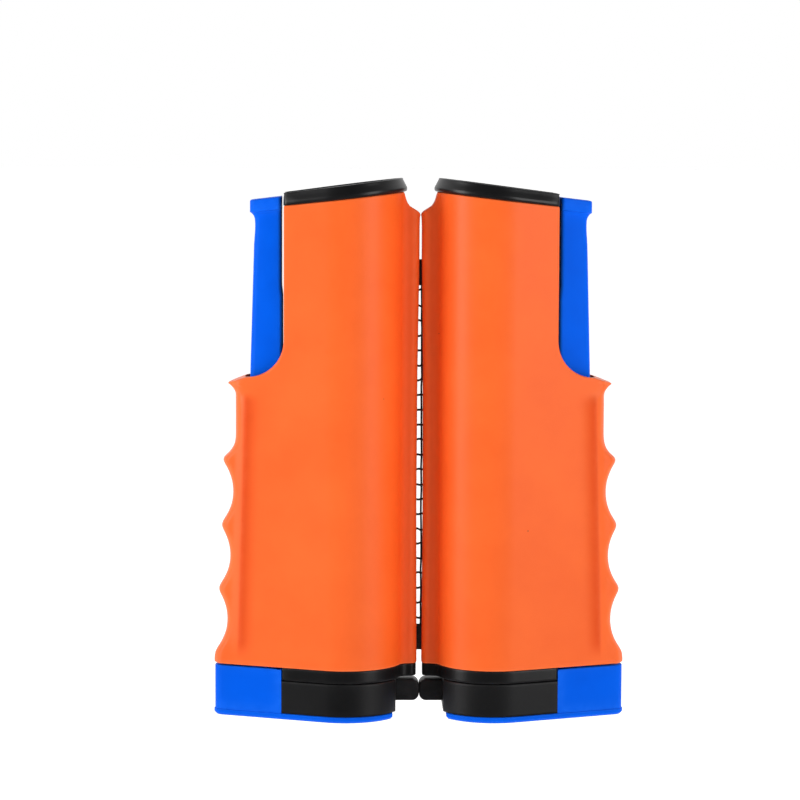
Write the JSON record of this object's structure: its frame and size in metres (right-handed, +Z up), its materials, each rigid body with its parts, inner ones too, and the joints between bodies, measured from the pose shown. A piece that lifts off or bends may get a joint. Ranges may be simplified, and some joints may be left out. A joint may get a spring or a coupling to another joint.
{
  "type": "table tennis net clamp",
  "caption": "Pair of hand-held clamp posts for a table tennis net, with finger grips, press-down sprung jaws and a net that winds onto a roller inside.",
  "frame": {"origin": "on the surface the two feet stand on, midway between the two posts", "axes": "+Z up along the posts, +X from the left post to the right post (the way the net pulls out), +Y from front to back"},
  "size_m": [0.155, 0.0446, 0.2023],
  "materials": {
    "orange_shell": "satin moulded",
    "blue_slider": "satin moulded",
    "black_cap": "fine grain",
    "black_pad": "fine grain",
    "steel": "drawn",
    "white_bush": "natural",
    "net_cord": "knotted nylon cord",
    "net_tape": "woven tape"
  },
  "bodies": {
    "left_post": {"left_front_shell": "orange_shell", "left_back_shell": "orange_shell", "left_top_cap": "black_cap", "left_upper_jaw_plate": "black_pad", "left_clamp_spring": "steel", "left_spring_seat": "black_cap", "left_shell_screws": "steel", "left_edge_screws": "steel", "roller_shaft": "steel", "lower_shaft_bush": "white_bush", "upper_shaft_bush": "white_bush", "return_spring": "steel"},
    "left_slider": {"left_clamp_slider": "blue_slider", "left_lower_jaw_pad": "black_pad"},
    "net_roller": {"roller_tube": "white_bush", "lower_roller_plug": "black_cap", "upper_roller_plug": "black_cap", "wound_net": "net_cord"},
    "right_post": {"right_front_shell": "orange_shell", "right_back_shell": "orange_shell", "right_top_cap": "black_cap", "right_upper_jaw_plate": "black_pad", "right_clamp_spring": "steel", "right_spring_seat": "black_cap", "right_shell_screws": "steel", "right_edge_screws": "steel", "net_web": "net_cord", "top_net_tape": "net_tape", "bottom_net_tape": "net_tape", "net_anchor_rod": "steel"},
    "right_slider": {"right_clamp_slider": "blue_slider", "right_lower_jaw_pad": "black_pad"}
  },
  "joints": [
    {"name": "left_clamp", "type": "slide", "parent": "left_post", "child": "left_slider", "axis": [0, 0, -1], "range_m": [0, 0.05], "stiffness_N_per_m": 300, "springref_m": -0.03, "deforming": ["left_clamp_spring"]},
    {"name": "net_pull", "type": "slide", "parent": "left_post", "child": "right_post", "axis": [1, 0, 0], "range_m": [0, 1.7], "stiffness_N_per_m": 2, "springref_m": -1, "deforming": ["net_web", "top_net_tape", "bottom_net_tape"]},
    {"name": "net_wind", "type": "hinge", "parent": "left_post", "child": "net_roller", "pos_m": [-0.0278, 0, 0.1], "axis": [0, 0, 1], "range_deg": [0, 8860], "deforming": ["return_spring"]},
    {"name": "right_clamp", "type": "slide", "parent": "right_post", "child": "right_slider", "axis": [0, 0, -1], "range_m": [0, 0.05], "stiffness_N_per_m": 300, "springref_m": -0.03, "deforming": ["right_clamp_spring"]}
  ],
  "couplings": [
    {"joint": "net_wind", "follows": "net_pull", "rad_per_m": 90.909}
  ]
}
